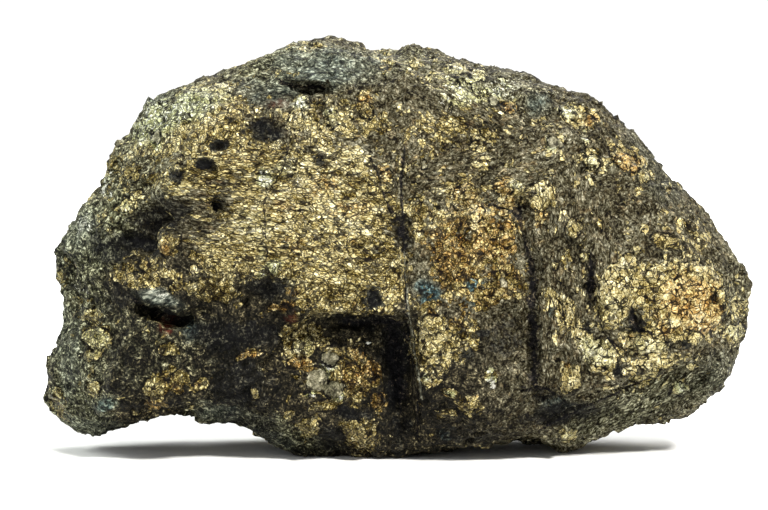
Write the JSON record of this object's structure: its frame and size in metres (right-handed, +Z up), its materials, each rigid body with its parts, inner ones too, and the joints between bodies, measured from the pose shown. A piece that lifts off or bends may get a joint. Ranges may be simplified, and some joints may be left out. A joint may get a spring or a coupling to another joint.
{
  "type": "bornite ore specimen",
  "caption": "Rough hand specimen of bornite ore: a broken, grainy brassy and dark face with a square recess and a long groove, standing on its worn lower edge",
  "frame": {"origin": "On the ground, under the middle of the stone's bounding box, with the stone standing on the flats of its lower edge as in the picture", "axes": "+X is to the right along the broken face and is the longest way through the stone, +Z is up, and the broken face looks towards -Y, the thinnest way through"},
  "size_m": [0.1202, 0.049, 0.07],
  "materials": {
    "bornite_ore": "broken metallic ore: pale to orange-gold grains with a soft metallic gleam in a dark grey-olive, slate-blue and purplish matrix, with a little white quartz"
  },
  "bodies": {
    "root": {"bornite": "bornite_ore"}
  },
  "joints": []
}
